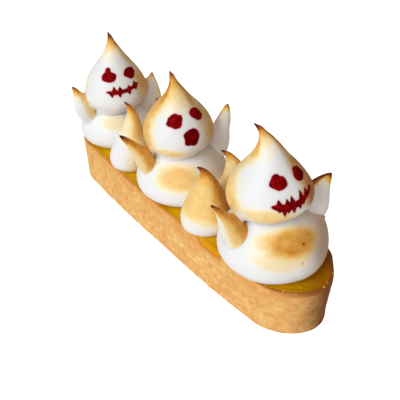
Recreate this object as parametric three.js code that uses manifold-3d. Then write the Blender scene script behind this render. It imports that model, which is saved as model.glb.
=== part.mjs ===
// Oblong lemon tart topped with three torched meringue ghosts and four plain meringue kisses.
//
// Frame, in millimetres: origin at the centre of the case's flat base, +Z up, +X along the case towards the
// end that the ghosts face, +Y to the ghosts' left-hand side.
//
// The case is an oblong with round ends and gently bowed sides, filled with set lemon curd. Every meringue
// form is a "piped form": a round section carried along a curved spine that runs from its foot to its pulled
// tip. The radius rises from the foot to a widest ring and falls away again to the tip.

import * as THREE from 'three';
import { mergeVertices } from 'three/addons/utils/BufferGeometryUtils.js';
import Module from 'manifold-3d';

const wasm = await Module();
wasm.setup();

const gap = 0.3; // left between pieces that touch
const past = 1; // how far a cutting shape reaches past the face it opens
const weldDistance = 1e-4;

const crust = {
  width: 35.5, // at the middle of the long sides
  height: 20,
  straight: 53.5, // half the length of the two long sides
  sideBow: 1.6, // how far the middle of a long side stands out past its ends
  endReach: 0.6, // an end stands further out along the case than across it
  shoulder: 0.42, // and is flattened between the two
  skew: 0.15, // a little more so on one side
  wall: 2.2,
  floor: 3,
  edgeRound: 0.8, // round on the rim and on the foot
  edgeRings: 2,
  footInset: 0.4, // the foot is this much smaller than the rim, all round
  endSteps: 20,
  sideSteps: 10,
};
const curdTop = 18.9; // height of the curd's surface, a little below the rim
const footSink = 0.3; // how far below the curd's surface a piped form's round underside starts
const footZ = curdTop - footSink;

const pulledTip = { radius: 0.5, rise: 3, close: 20 }; // a blunt end, and the powers it comes and goes by
const detail = { // sides and rings of each kind of piped form
  body: [28, 12],
  head: [24, 20],
  kiss: [18, 14],
  arm: [12, 12],
};
const marks = {
  relief: 0.5, // how far the piped red marks stand off a face
  depth: 5, // length of the prism that each mark is cut from
  toothHalf: 0.85, // half the root of a tooth of a jagged mouth
  leastEnd: 0.06, // keeps the ends of a jagged mouth from closing to nothing
  stopSpacing: 0.15, // corners of its outline closer than this become one
};
const finishes = {
  crust: { color: 0xdba868, roughness: 0.85, metalness: 0 },
  curd: { color: 0xe0a400, roughness: 0.25, metalness: 0 },
  meringue: { color: 0xf3ede2, roughness: 0.6, metalness: 0 },
};

// A piped form: the spine's four control points from foot to tip, the radius of its widest ring, and the two
// powers that shape the swelling above the foot and the taper to the tip. A body has no pulled tip: it is a
// foot and a height. Marks lie where "at" says, turned by "facing" round the upright axis and tilted upwards.
const ghosts = [
  {
    body: { foot: [45.5, 0, footZ], height: 21.8, radius: 19.5, swell: 0.2, taper: 0.55 },
    head: {
      spine: [[43.5, 0, 38.3], [41.6, -1.9, 49.1], [42.1, 2.4, 62.4], [38.0, -5.5, 70.6]],
      radius: 14.7, swell: 0.46, taper: 1.95,
    },
    leftArm: {
      spine: [[41.9, -13.4, 31.2], [41.7, -17.9, 37.4], [41.8, -20.0, 45.0], [41.5, -25.3, 50.6]],
      radius: 4.6, swell: 0.2, taper: 1.45,
    },
    rightArm: {
      spine: [[49.4, 11.9, 33.0], [49.6, 14.4, 37.4], [48.2, 17.2, 40.6], [49.4, 22.6, 45.3]],
      radius: 5.8, swell: 0.3, taper: 0.9,
    },
    leftEye: {
      at: [50.0, -5.4, 55.2], facing: -34, tilt: 42,
      radii: [2.8, 2.5, 2.3, 1.8, 2.3, 2.5, 2.4, 2.2, 2.5, 3.0, 2.7, 2.5, 2.9, 2.9, 3.0, 3.2],
    },
    rightEye: {
      at: [50.9, 2.5, 55.3], facing: 18, tilt: 41,
      radii: [2.4, 2.1, 2.4, 2.5, 2.5, 2.1, 2.0, 2.2, 2.4, 2.5, 2.4, 2.5, 2.5, 2.8],
    },
    mouth: {
      at: [56.2, -2.8, 48.7], facing: -11, tilt: 27,
      halfLength: 7.75, curve: 0.034, lean: 0.12, thick: [1.2, 0.75],
      upperTeeth: [[-5.4, 2.5], [-2.7, 2.4], [-1.2, 3.0], [2.4, 3.2], [4.8, 2.3], [7.1, 1.2]],
      lowerTeeth: [[-5.8, 1.5], [-4.4, 2.6], [-3.2, 1.8], [-1.2, 2.4], [1.5, 1.8], [2.7, 1.4]],
    },
  },
  {
    body: { foot: [-5.5, 0, footZ], height: 21.8, radius: 18.8, swell: 0.2, taper: 0.59 },
    head: {
      spine: [[-6.2, 0, 36.7], [-6.8, -2.1, 48.0], [-4.6, -0.8, 59.1], [-6.4, -4.2, 70.5]],
      radius: 13.6, swell: 0.61, taper: 1.76,
    },
    leftArm: {
      spine: [[-9.9, -14.6, 31.3], [-7.6, -15.5, 37.9], [-8.5, -20.0, 44.6], [-9.5, -25.2, 50.6]],
      radius: 3.4, swell: 0.3, taper: 1.1,
    },
    rightArm: {
      spine: [[0.4, 13.2, 30.5], [-0.5, 13.9, 36.5], [-1.4, 17.2, 43.4], [-2.4, 20.4, 50.3]],
      radius: 4.2, swell: 0.4, taper: 0.82,
    },
    leftEye: {
      at: [0.8, -7.9, 54.6], facing: -43, tilt: 32,
      radii: [2.5, 2.8, 3.2, 2.6, 2.8, 2.6, 2.5, 2.7, 2.8, 3.4, 2.8, 2.4, 2.7, 2.7, 2.9, 2.7],
    },
    rightEye: {
      at: [2.6, 0.3, 55.7], facing: 10, tilt: 34,
      radii: [2.5, 2.4, 2.3, 2.3, 2.3, 2.6, 2.7, 2.2, 1.9, 1.8, 2.3, 2.7, 3.1, 3.3],
    },
    mouth: {
      at: [6.0, -4.5, 49.1], facing: -16, tilt: 23,
      radii: [3.3, 3.4, 3.5, 3.4, 3.0, 2.8, 2.7, 2.9, 3.0, 2.5, 2.7, 3.5, 3.3, 2.9, 3.3, 3.4, 3.0, 3.0],
    },
  },
  {
    body: { foot: [-53.3, 0, footZ], height: 19.6, radius: 16.5, swell: 0.29, taper: 0.55 },
    head: {
      spine: [[-50.5, 0, 35.6], [-51.5, -1.1, 47.5], [-49.7, 1.0, 58.5], [-51.9, -1.3, 69.4]],
      radius: 13.4, swell: 0.5, taper: 1.65,
    },
    leftArm: {
      spine: [[-55.3, -12.4, 32.1], [-55.9, -16.2, 37.7], [-52.7, -15.4, 42.4], [-55.4, -18.7, 49.1]],
      radius: 3.8, swell: 0.35, taper: 0.95,
    },
    rightArm: {
      spine: [[-47.8, 13.1, 31.0], [-47.7, 14.4, 37.0], [-47.9, 15.6, 42.4], [-48.0, 16.5, 47.5]],
      radius: 5.6, swell: 0.41, taper: 1.2,
    },
    leftEye: {
      at: [-45.0, -6.6, 54.9], facing: -48, tilt: 36,
      radii: [2.8, 1.8, 1.2, 1.1, 2.5, 2.8, 2.5, 1.8, 2.5, 3.4, 3.8, 3.4, 3.3, 3.4, 3.4, 3.1],
    },
    rightEye: {
      at: [-41.9, 1.0, 54.4], facing: 7, tilt: 34,
      radii: [3.3, 3.4, 2.7, 2.2, 2.1, 2.0, 2.1, 2.5, 2.1, 1.9, 2.3, 2.5, 2.7, 2.8],
    },
    mouth: {
      at: [-38.9, -3.7, 48.8], facing: -15, tilt: 25,
      halfLength: 7.0, curve: 0.03, lean: 0.1, thick: [0.75, 0.6],
      upperTeeth: [[-3.9, 2.4], [-1.6, 2.1], [2.2, 1.4], [5.0, 1.8]],
      lowerTeeth: [[-5.25, 2.1], [-3.7, 1.1], [-2.1, 2.2], [2.1, 2.2], [5.4, 1.8]],
    },
  },
];
const kisses = {
  kiss_1_left: {
    spine: [[18.8, -7.2, footZ], [18.0, -8.7, 29.1], [20.2, -5.6, 41.9], [17.0, -10.9, 44.9]],
    radius: 9.9, swell: 0.16, taper: 1.5,
  },
  kiss_1_right: {
    spine: [[16.4, 8.0, footZ], [17.1, 8.9, 28.6], [15.9, 9.1, 41.1], [13.0, 3.8, 43.5]],
    radius: 8.3, swell: 0.16, taper: 1.6,
  },
  kiss_2_left: {
    spine: [[-31.4, -8.8, footZ], [-31.4, -8.6, 30.6], [-27.4, -4.1, 43.7], [-31.8, -8.7, 48.7]],
    radius: 8.3, swell: 0.16, taper: 1.5,
  },
  kiss_2_right: {
    spine: [[-29.6, 7.4, footZ], [-29.6, 7.8, 28.6], [-30.2, 8.4, 41.0], [-31.0, 6.4, 45.4]],
    radius: 8.4, swell: 0.16, taper: 1.3,
  },
};

// A closed geometry as a solid that can be joined and cut.
function solid(geometry) {
  const bare = geometry.index ? geometry : geometry.clone();
  bare.deleteAttribute('normal');
  bare.deleteAttribute('uv');
  const merged = mergeVertices(bare, weldDistance);
  const mesh = new wasm.Mesh({
    numProp: 3,
    vertProperties: new Float32Array(merged.attributes.position.array),
    triVerts: new Uint32Array(merged.index.array),
  });
  mesh.merge();
  return new wasm.Manifold(mesh);
}

// A solid's triangles as a geometry.
function geometryOf(manifold) {
  const mesh = manifold.getMesh();
  const geometry = new THREE.BufferGeometry();
  geometry.setAttribute('position', new THREE.BufferAttribute(new Float32Array(mesh.vertProperties), 3));
  geometry.setIndex(new THREE.BufferAttribute(new Uint32Array(mesh.triVerts), 1));
  return geometry;
}

// The radius of an end by the angle from the case's long axis: a mean circle and three gentle waves.
function endRadius(turn) {
  const { width, sideBow, endReach, shoulder, skew } = crust;
  const mean = width / 2 - sideBow + endReach - shoulder;
  return mean + endReach * Math.cos(2 * turn) + shoulder * Math.cos(4 * turn) + skew * Math.sin(2 * turn);
}

// The outline set in by a distance: one end's arc and one bowed side, and then the same turned half round.
function oblong(inset) {
  const { width, straight, sideBow, endSteps, sideSteps } = crust;
  const half = [];
  for (let i = 0; i <= endSteps; i += 1) {
    const turn = Math.PI * (i / endSteps - 0.5);
    const radius = endRadius(turn) - inset;
    half.push(new THREE.Vector2(straight + radius * Math.cos(turn), radius * Math.sin(turn)));
  }
  for (let i = 1; i < sideSteps; i += 1) {
    const share = 1 - (2 * i) / sideSteps;
    half.push(new THREE.Vector2(straight * share, width / 2 - inset - sideBow * share ** 2));
  }
  const turned = half.map((point) => point.clone().negate());
  return new THREE.Shape([...half, ...turned]);
}

// An upright prism of the outline, between two heights.
function prism(inset, low, high) {
  const geometry = new THREE.ExtrudeGeometry(oblong(inset), { depth: high - low, bevelEnabled: false });
  geometry.translate(0, 0, low);
  return solid(geometry);
}

// The case's outside: rounded at rim and foot, and drawn in a little towards the foot.
function crustBlock() {
  const { height, edgeRound, edgeRings, footInset, straight, width } = crust;
  const geometry = new THREE.ExtrudeGeometry(oblong(edgeRound), {
    depth: height - 2 * edgeRound,
    bevelThickness: edgeRound,
    bevelSize: edgeRound,
    bevelSegments: edgeRings,
  });
  geometry.translate(0, 0, edgeRound);
  const halfLength = straight + endRadius(0);
  const halfWidth = width / 2;
  const position = geometry.attributes.position;
  for (let i = 0; i < position.count; i += 1) {
    const drawn = footInset * (1 - position.getZ(i) / height);
    position.setX(i, position.getX(i) * (1 - drawn / halfLength));
    position.setY(i, position.getY(i) * (1 - drawn / halfWidth));
  }
  return solid(geometry);
}

function makeCrust() {
  return crustBlock().subtract(prism(crust.wall, crust.floor, crust.height + past));
}

function makeCurd() {
  return prism(crust.wall + gap, crust.floor + gap, curdTop);
}

// The space of the filled case with the gap round it, which every form standing on the curd is cut by.
function caseSpace() {
  const rimTop = crust.height + gap;
  const rim = prism(-gap, curdTop, rimTop).subtract(prism(crust.wall + gap, 0, rimTop + past));
  return prism(-gap, -past, curdTop + gap).add(rim);
}

// The radius along a piped form's spine, at a share from foot to tip.
function pipedRadius(form, share) {
  const widest = form.swell / (form.swell + form.taper);
  const rise = (share / widest) ** form.swell;
  const fall = ((1 - share) / (1 - widest)) ** form.taper;
  const pulled = form.spine ? pulledTip.radius : 0;
  const blunt = pulled * share ** pulledTip.rise * Math.sqrt(1 - share ** pulledTip.close);
  return form.radius * rise * fall + blunt;
}

// A piped form's spine: four given points, or a straight rise from the foot.
function spineOf(form) {
  if (form.spine) {
    return new THREE.CubicBezierCurve3(...form.spine.map((point) => new THREE.Vector3(...point)));
  }
  const foot = new THREE.Vector3(...form.foot);
  const top = foot.clone().setZ(foot.z + form.height);
  return new THREE.CubicBezierCurve3(foot, foot.clone().lerp(top, 1 / 3), foot.clone().lerp(top, 2 / 3), top);
}

// A piped form as a closed skin of rings between two end points, swollen all over by the given distance.
function piped(form, [sides, rings], grow = 0) {
  const curve = spineOf(form);
  const foot = curve.getPoint(0).addScaledVector(curve.getTangent(0), -grow);
  const tip = curve.getPoint(1).addScaledVector(curve.getTangent(1), grow);
  const points = [foot];
  for (let i = 1; i < rings; i += 1) {
    const share = 0.5 - 0.5 * Math.cos((Math.PI * i) / rings);
    const centre = curve.getPoint(share);
    const along = curve.getTangent(share);
    const side = new THREE.Vector3(1, 0, 0).addScaledVector(along, -along.x).normalize();
    const front = new THREE.Vector3().crossVectors(along, side);
    const radius = pipedRadius(form, share) + grow;
    for (let k = 0; k < sides; k += 1) {
      const angle = (2 * Math.PI * k) / sides;
      const onRing = centre.clone().addScaledVector(side, radius * Math.cos(angle));
      points.push(onRing.addScaledVector(front, radius * Math.sin(angle)));
    }
  }
  points.push(tip);
  const index = [];
  const ringStart = (i) => 1 + (i - 1) * sides;
  const last = points.length - 1;
  for (let k = 0; k < sides; k += 1) {
    const next = (k + 1) % sides;
    index.push(0, ringStart(1) + next, ringStart(1) + k);
    for (let i = 1; i < rings - 1; i += 1) {
      const low = ringStart(i);
      const high = ringStart(i + 1);
      index.push(low + k, low + next, high + next, low + k, high + next, high + k);
    }
    index.push(ringStart(rings - 1) + k, ringStart(rings - 1) + next, last);
  }
  const geometry = new THREE.BufferGeometry().setFromPoints(points);
  geometry.setIndex(index);
  return solid(geometry);
}

// A lumpy round mark: radii given at equal steps round it.
function lumpyOutline({ radii }) {
  return radii.map((radius, i) => {
    const angle = (2 * Math.PI * i) / radii.length;
    return new THREE.Vector2(radius * Math.cos(angle), radius * Math.sin(angle));
  });
}

// How far a row of pointed teeth reaches past the band's edge at a place along the mouth.
function toothReach(teeth, across) {
  const slopes = teeth.map(([place, reach]) => reach * (1 - Math.abs(across - place) / marks.toothHalf));
  return Math.max(0, ...slopes);
}

// A jagged mouth: a band that follows a shallow curve, thin at its ends, with teeth above and below.
function jaggedOutline(mouth) {
  const { halfLength, curve, lean, thick, upperTeeth, lowerTeeth } = mouth;
  const middle = (u) => curve * u * u + lean * u;
  const half = (u) => THREE.MathUtils.mapLinear(u, -halfLength, halfLength, thick[0], thick[1])
    * Math.sqrt(Math.max(marks.leastEnd, 1 - (u / halfLength) ** 4));
  const corners = (teeth) => teeth
    .flatMap(([place]) => [place - marks.toothHalf, place, place + marks.toothHalf])
    .filter((u) => Math.abs(u) < halfLength)
    .sort((a, b) => a - b)
    .filter((u, i, all) => i === 0 || u - all[i - 1] > marks.stopSpacing);
  const edge = (teeth, sign) => [-halfLength, ...corners(teeth), halfLength]
    .map((u) => new THREE.Vector2(u, middle(u) + sign * Math.max(half(u), toothReach(teeth, u))));
  return [...edge(lowerTeeth, -1), ...edge(upperTeeth, 1).reverse()];
}

// A mark's outline as a prism that points out of the head where the mark lies.
function markPrism(mark) {
  const outline = new THREE.Shape(mark.radii ? lumpyOutline(mark) : jaggedOutline(mark));
  const geometry = new THREE.ExtrudeGeometry(outline, { depth: marks.depth, bevelEnabled: false });
  geometry.translate(0, 0, -marks.depth / 2);
  const facing = THREE.MathUtils.degToRad(mark.facing);
  const level = new THREE.Vector3(Math.cos(facing), Math.sin(facing), 0);
  const across = new THREE.Vector3(0, 0, 1).cross(level);
  const out = level.applyAxisAngle(across, -THREE.MathUtils.degToRad(mark.tilt));
  const upward = new THREE.Vector3().crossVectors(out, across);
  geometry.applyMatrix4(new THREE.Matrix4().makeBasis(across, upward, out));
  geometry.translate(...mark.at);
  return solid(geometry);
}

// A head with its eyes and mouth standing on it in low relief.
function makeHead(ghost) {
  const raised = piped(ghost.head, detail.head, marks.relief);
  let head = piped(ghost.head, detail.head);
  for (const mark of [ghost.leftEye, ghost.rightEye, ghost.mouth]) {
    head = head.add(raised.intersect(markPrism(mark)));
  }
  return head;
}

const group = new THREE.Group();

function addPiece(name, shape, finish) {
  const mesh = new THREE.Mesh(geometryOf(shape), new THREE.MeshStandardMaterial(finish));
  mesh.name = name;
  group.add(mesh);
}

addPiece('tart_shell', makeCrust(), finishes.crust);
addPiece('lemon_curd', makeCurd(), finishes.curd);

const filledCase = caseSpace();

// The ghosts: the body is hollowed where the head and the arms are set into it.
ghosts.forEach((ghost, i) => {
  const name = `ghost_${i + 1}`;
  const headSpace = piped(ghost.head, detail.head, gap);
  let body = piped(ghost.body, detail.body).subtract(filledCase).subtract(headSpace);
  for (const [side, arm] of [['left', ghost.leftArm], ['right', ghost.rightArm]]) {
    body = body.subtract(piped(arm, detail.arm, gap));
    addPiece(`${name}_arm_${side}`, piped(arm, detail.arm).subtract(headSpace), finishes.meringue);
  }
  addPiece(`${name}_body`, body, finishes.meringue);
  addPiece(`${name}_head`, makeHead(ghost), finishes.meringue);
});

// The kisses stand between the ghosts, pressed against them and against each other.
const besideKisses = ghosts.map((ghost) => piped(ghost.body, detail.body, gap));
for (const [name, kiss] of Object.entries(kisses)) {
  let shape = piped(kiss, detail.kiss).subtract(filledCase);
  for (const neighbour of besideKisses) {
    shape = shape.subtract(neighbour);
  }
  besideKisses.push(piped(kiss, detail.kiss, gap));
  addPiece(name, shape, finishes.meringue);
}

export default group;
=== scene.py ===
import itertools

import bmesh
import bpy
import numpy as np
from mathutils import Matrix


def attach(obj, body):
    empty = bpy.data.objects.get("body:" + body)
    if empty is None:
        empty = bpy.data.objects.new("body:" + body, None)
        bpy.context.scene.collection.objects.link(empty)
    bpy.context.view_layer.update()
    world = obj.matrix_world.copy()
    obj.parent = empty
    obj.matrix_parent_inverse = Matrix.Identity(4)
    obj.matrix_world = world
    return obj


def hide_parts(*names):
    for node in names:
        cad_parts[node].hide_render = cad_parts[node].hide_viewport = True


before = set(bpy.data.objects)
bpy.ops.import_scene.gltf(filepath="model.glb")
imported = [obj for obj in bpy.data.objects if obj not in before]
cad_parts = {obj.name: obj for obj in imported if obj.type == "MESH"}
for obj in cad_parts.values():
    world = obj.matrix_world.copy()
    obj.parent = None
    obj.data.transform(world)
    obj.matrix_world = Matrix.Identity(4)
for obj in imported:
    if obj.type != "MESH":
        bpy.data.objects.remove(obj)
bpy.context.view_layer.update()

# An oblong lemon tart with three torched meringue ghosts and four meringue kisses.
# Every shape is worked out in millimetres, in the frame's own axes, and its mesh is in metres.
millimetre = 0.001
body = "root"

view = {
    "target": (3.22, 1.78, 15.0),
    "distance": 236.2,
    "azimuth": 50.75,
    "elevation": 38.93,
    "lens": 52.2,
    "sensor": 36.0,
    "clipStart": 0.01,  # in metres
}

case = {
    "width": 35.5,
    "height": 20.0,
    "straight": 53.5,  # half the length of the two long sides
    "sideBow": 1.6,
    "endReach": 0.6,  # the end stands further out along the case than across it
    "shoulder": 0.42,  # and is flattened between the two
    "skew": 0.15,  # a little more so on one side
    "endStops": 122,
    "sideStops": 254,
    "wall": 2.2,
    "thicker": 1.2,  # how much thicker the wall is under the curd's surface
    "floor": 3.0,
    "edgeRound": 0.8,
    "footInset": 0.4,
    "curdTop": 18.9,
    "sunk": 0.3,  # how far a form's foot stands under the curd's surface
    "bulges": [((64.3, 13.2, 9.5), 8.5, -1.2), ((59.0, 16.0, 20.0), 6.0, 1.0),
               ((66.5, -11.0, 0.8), 7.0, 0.35), ((36.0, -17.0, 1.5), 15.0, 0.4)],
}
footZ = case["curdTop"] - case["sunk"]  # where a piped form's round underside starts
straight = case["straight"]


def unit(vectors):
    # each vector over its own length
    return vectors / np.maximum(np.linalg.norm(vectors, axis=-1, keepdims=True), 1e-9)


def ramp(low, high, value):
    # smooth step: 0 below low, 1 above high, 3t^2 - 2t^3 between
    t = np.clip((value - low) / (high - low), 0, 1)
    return t * t * (3 - 2 * t)


def softNoise(points, cell, seed):
    # value noise from -1 to 1: random heights on a cubic lattice, blended with smooth steps
    cells = 37
    table = np.random.default_rng(seed).uniform(-1, 1, (cells, cells, cells))
    place = points / cell
    low = np.floor(place).astype(int)
    part = place - low
    part = part * part * (3 - 2 * part)
    total = np.zeros(points.shape[:-1])
    for corner in itertools.product((0, 1), repeat=3):
        step = np.array(corner)
        weight = np.prod(np.where(step, part, 1 - part), axis=-1)
        ix, iy, iz = np.moveaxis((low + step) % cells, -1, 0)
        total += weight * table[ix, iy, iz]
    return total


def layered(points, layers):
    # noises added up, each given by its height, cell and seed
    return sum(height * softNoise(points, cell, seed) for height, cell, seed in layers)


def swollen(points, bulges):
    # listed swellings and, where negative, dents, in millimetres: push e^-(distance / radius)^2
    return sum(push * np.exp(-((points - np.array(centre)) ** 2).sum(-1) / radius ** 2)
               for centre, radius, push in bulges)


def gridNormals(grid):
    # outward normals of a grid whose first index climbs and whose second goes round: (round) x (climb)
    climb = np.gradient(grid, axis=0)
    about = np.roll(grid, -1, axis=1) - np.roll(grid, 1, axis=1)
    return unit(np.cross(about, climb))


def ringFaces(rows, columns):
    # quads of a grid closed round its second index
    i, k = np.meshgrid(np.arange(rows - 1), np.arange(columns), indexing="ij")
    here = i * columns + k
    beside = i * columns + (k + 1) % columns
    return np.stack([here, beside, beside + columns, here + columns], -1).reshape(-1, 4)


def addMesh(name, points, faces, material, nodes=(), attributes=None):
    # points in millimetres become a smooth mesh at the origin, riding on the body
    mesh = bpy.data.meshes.new(name)
    mesh.from_pydata((np.asarray(points) * millimetre).tolist(), [], faces)
    mesh.shade_smooth()
    for key, values in (attributes or {}).items():
        layer = mesh.attributes.new(key, "FLOAT", "POINT")
        layer.data.foreach_set("value", np.asarray(values, np.float32).ravel())
    mesh.materials.append(material)
    piece = bpy.data.objects.new(name, mesh)
    bpy.context.scene.collection.objects.link(piece)
    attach(piece, body)
    if nodes:
        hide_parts(*nodes)
    return piece


def closedGrid(grid, foot, tip):
    # a grid of rings with one vertex closing each end, and its faces
    rows, columns = grid.shape[:2]
    points = np.vstack([grid.reshape(-1, 3), foot, tip])
    faces = ringFaces(rows, columns).tolist()
    last = (rows - 1) * columns
    around = np.arange(columns)
    nextOne = (around + 1) % columns
    faces += np.stack([np.full(columns, rows * columns), nextOne, around], -1).tolist()
    faces += np.stack([last + around, last + nextOne, np.full(columns, rows * columns + 1)], -1).tolist()
    return points, faces


def joined(blocks):
    # pairs of points and faces put together as one pair
    points = []
    faces = []
    for some, corners in blocks:
        start = sum(len(block) for block in points)
        points.append(some)
        faces += [[start + corner for corner in face] for face in corners]
    return np.vstack(points), faces


# Spines run from foot to tip. "swell" and "taper" are the powers of pipedRadius. "burn" gives the shares of
# the spine where gold, brown and black begin. "patches" are torched places: centre, half width, half height
# and amount. "glows" are torched sides: direction, the two dot products it fades between, and amount, and
# "dusks" are sides dulled to tan by painted shade, given alike. "rise" is gold that starts at a height: low,
# high, amount. "bulges" are swellings and, where negative, dents: centre, radius and push. "pores" are
# pinholes.
# "neck" is how many millimetres the fillet of head and body blends over. "tone" is painted shade and light:
# it makes an eye's or mouth's red darker or lighter.
acrossView = np.array((0.633, 0.774, 0.0))
aheadView = np.array((0.774, -0.633, 0.0))
leftSide = (-0.63, -0.77, 0.05)
rightSide = (0.62, 0.75, 0.2)
backSide = (-0.75, 0.55, 0.35)
innerSide = (0.45, 0.7, 0.35)  # the side of a left arm towards its head
headSide = (-0.75, -0.3, 0.6)  # the side of a right arm towards its head

nearGhost = {
    "neck": 5.0,
    "body": {
        "foot": (45.5, 0, footZ), "height": 21.8, "radius": 19.5, "swell": 0.2, "taper": 0.55,
        "patches": [((57.5, -3.7, 34.2), 12.8, 4.4, 0.5), ((58.5, -9.4, 30.0), 11.0, 3.8, 0.2),
                    ((30.0, 9.0, 33.0), 8.0, 5.0, 0.4)],
        # partly torching, partly painted warm shade on the lower right side
        "glows": [((0.66, 0.72, -0.2), 0.5, 1.0, 0.2)],
        "paintedShades": [(rightSide, 0.4, 0.9, 1.0)],
        "bulges": [((55.8, 13.0, 33.5), 5.5, 1.8)],
        "pores": [(60.2, -0.9, 33.6), (63.4, -4.0, 29.0), (59.0, -14.0, 28.9)],
    },
    "head": {
        "spine": ((43.5, 0, 38.3), (41.6, -1.9, 49.1), (42.1, 2.4, 62.4), (38.0, -5.5, 70.6)),
        "radius": 14.7, "swell": 0.46, "taper": 1.95, "burn": (0.74, 0.89, 0.945),
        "patches": [((52.5, -11.3, 45.0), 11.0, 3.6, 0.3)],
        "glows": [(leftSide, 0.64, 0.95, 0.37), (rightSide, 0.62, 0.92, 0.54), (backSide, 0.6, 1.0, 0.4)],
        "paintedShades": [(rightSide, 0.55, 0.95, 0.9)],
        "bulges": [((45.8, 4.6, 59.0), 7.0, -0.68), ((39.3, -2.6, 69.3), 1.7, 0.4)],
    },
    "leftArm": {
        "spine": ((41.9, -13.4, 31.2), (41.7, -17.9, 37.4), (41.8, -20.0, 45.0), (41.5, -25.3, 50.6)),
        "radius": 4.6, "swell": 0.2, "taper": 1.45, "burn": (0.74, 0.905, 0.965),
        "glows": [(innerSide, -0.95, 0.1, 0.36), (rightSide, 0.3, 1.0, 0.3)],
    },
    "rightArm": {
        "spine": ((49.4, 11.9, 33.0), (49.6, 14.4, 37.4), (48.2, 17.2, 40.6), (49.4, 22.6, 45.3)),
        "radius": 5.8, "swell": 0.3, "taper": 0.9, "burn": (0.78, 0.9, 0.955),
        "glows": [(headSide, 0.35, 0.8, 0.82)],
    },
    "leftEye": {
        "at": (50.0, -5.4, 55.2), "facing": -34, "tilt": 42,
        "radii": (2.8, 2.5, 2.3, 1.8, 2.3, 2.5, 2.4, 2.2, 2.5, 3.0, 2.7, 2.5, 2.9, 2.9, 3.0, 3.2),
    },
    "rightEye": {
        "at": (50.9, 2.5, 55.3), "facing": 18, "tilt": 41, "tone": 0.72,
        "radii": (2.4, 2.1, 2.4, 2.5, 2.5, 2.1, 2.0, 2.2, 2.4, 2.5, 2.4, 2.5, 2.5, 2.8),
    },
    "mouth": {
        "at": (56.2, -2.8, 48.7), "facing": -11, "tilt": 27, "halfLength": 7.75, "curve": 0.034,
        "lean": 0.12, "thick": (1.3, 0.75),
        "upperTeeth": ((-5.4, 2.7), (-2.8, 2.7), (-1.1, 3.3), (2.4, 3.6), (4.8, 2.7), (7.1, 1.5)),
        "lowerTeeth": ((-5.8, 1.7), (-4.3, 2.9), (-2.9, 2.1), (-1.0, 2.6), (1.5, 2.2), (3.0, 1.6)),
    },
}

middleGhost = {
    "neck": 5.0,
    "body": {
        "foot": (-5.5, 0, footZ), "height": 21.8, "radius": 18.8, "swell": 0.2, "taper": 0.59,
        "patches": [((4.7, -9.7, 32.1), 11.0, 5.4, 0.36), ((-12.0, 12.0, 32.0), 8.0, 5.0, 0.4)],
        # partly torching, partly painted warm shade on the right side
        "glows": [(rightSide, 0.5, 1.0, 0.1)],
        "paintedShades": [(rightSide, 0.35, 0.9, 0.5)],
        "pores": [(-5.1, -12.0, 35.1)],
    },
    "head": {
        "spine": ((-6.2, 0, 36.7), (-6.8, -2.1, 48.0), (-4.6, -0.8, 59.1), (-6.4, -4.2, 70.5)),
        "radius": 13.6, "swell": 0.61, "taper": 1.76, "burn": (0.64, 0.9, 0.97),
        "patches": [((1.0, -11.0, 42.4), 7.5, 2.6, 0.26)],
        "glows": [(leftSide, 0.46, 0.9, 0.42), (rightSide, 0.74, 1.0, 0.34), (backSide, 0.5, 1.0, 0.45)],
        "paintedShades": [(rightSide, 0.55, 0.95, 0.7)],
        "bulges": [((-1.7, 4.0, 58.0), 5.5, -0.75), ((-5.7, -3.0, 68.6), 1.6, 0.3),
                   ((-8.6, -6.6, 59.8), 3.5, -0.35)],
    },
    "leftArm": {
        "spine": ((-9.9, -14.6, 31.3), (-7.6, -15.5, 37.9), (-8.5, -20.0, 44.6), (-9.5, -25.2, 50.6)),
        "radius": 3.4, "swell": 0.3, "taper": 1.1, "burn": (0.76, 0.915, 0.97),
        "glows": [(innerSide, -1.4, -0.6, 0.27), (innerSide, -0.4, 0.7, 0.32)],
    },
    "rightArm": {
        "spine": ((0.4, 13.2, 30.5), (-0.5, 13.9, 36.5), (-1.4, 17.2, 43.4), (-2.4, 20.4, 50.3)),
        "radius": 4.2, "swell": 0.4, "taper": 0.82, "burn": (0.86, 0.94, 0.98),
        "glows": [(headSide, 0.5, 1.0, 0.18)],
        "bulges": [((1.4, 19.0, 41.0), 2.4, -0.5), ((-4.0, 15.4, 48.2), 3.0, -0.25)],
    },
    "leftEye": {
        "at": (0.8, -7.9, 54.6), "facing": -43, "tilt": 32,
        "radii": (2.5, 2.8, 3.2, 2.6, 2.8, 2.6, 2.5, 2.7, 2.8, 3.4, 2.8, 2.4, 2.7, 2.7, 2.9, 2.7),
    },
    "rightEye": {
        "at": (2.6, 0.3, 55.7), "facing": 10, "tilt": 34,
        "radii": (2.5, 2.4, 2.3, 2.3, 2.3, 2.6, 2.7, 2.2, 1.9, 1.8, 2.3, 2.7, 3.1, 3.3),
    },
    "mouth": {
        "at": (6.0, -4.5, 49.1), "facing": -16, "tilt": 23, "tone": 0.74,
        "radii": (3.3, 3.4, 3.5, 3.4, 3.0, 2.8, 2.7, 2.9, 3.0,
                  2.5, 2.7, 3.5, 3.3, 2.9, 3.3, 3.4, 3.0, 3.0),
    },
}

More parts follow.
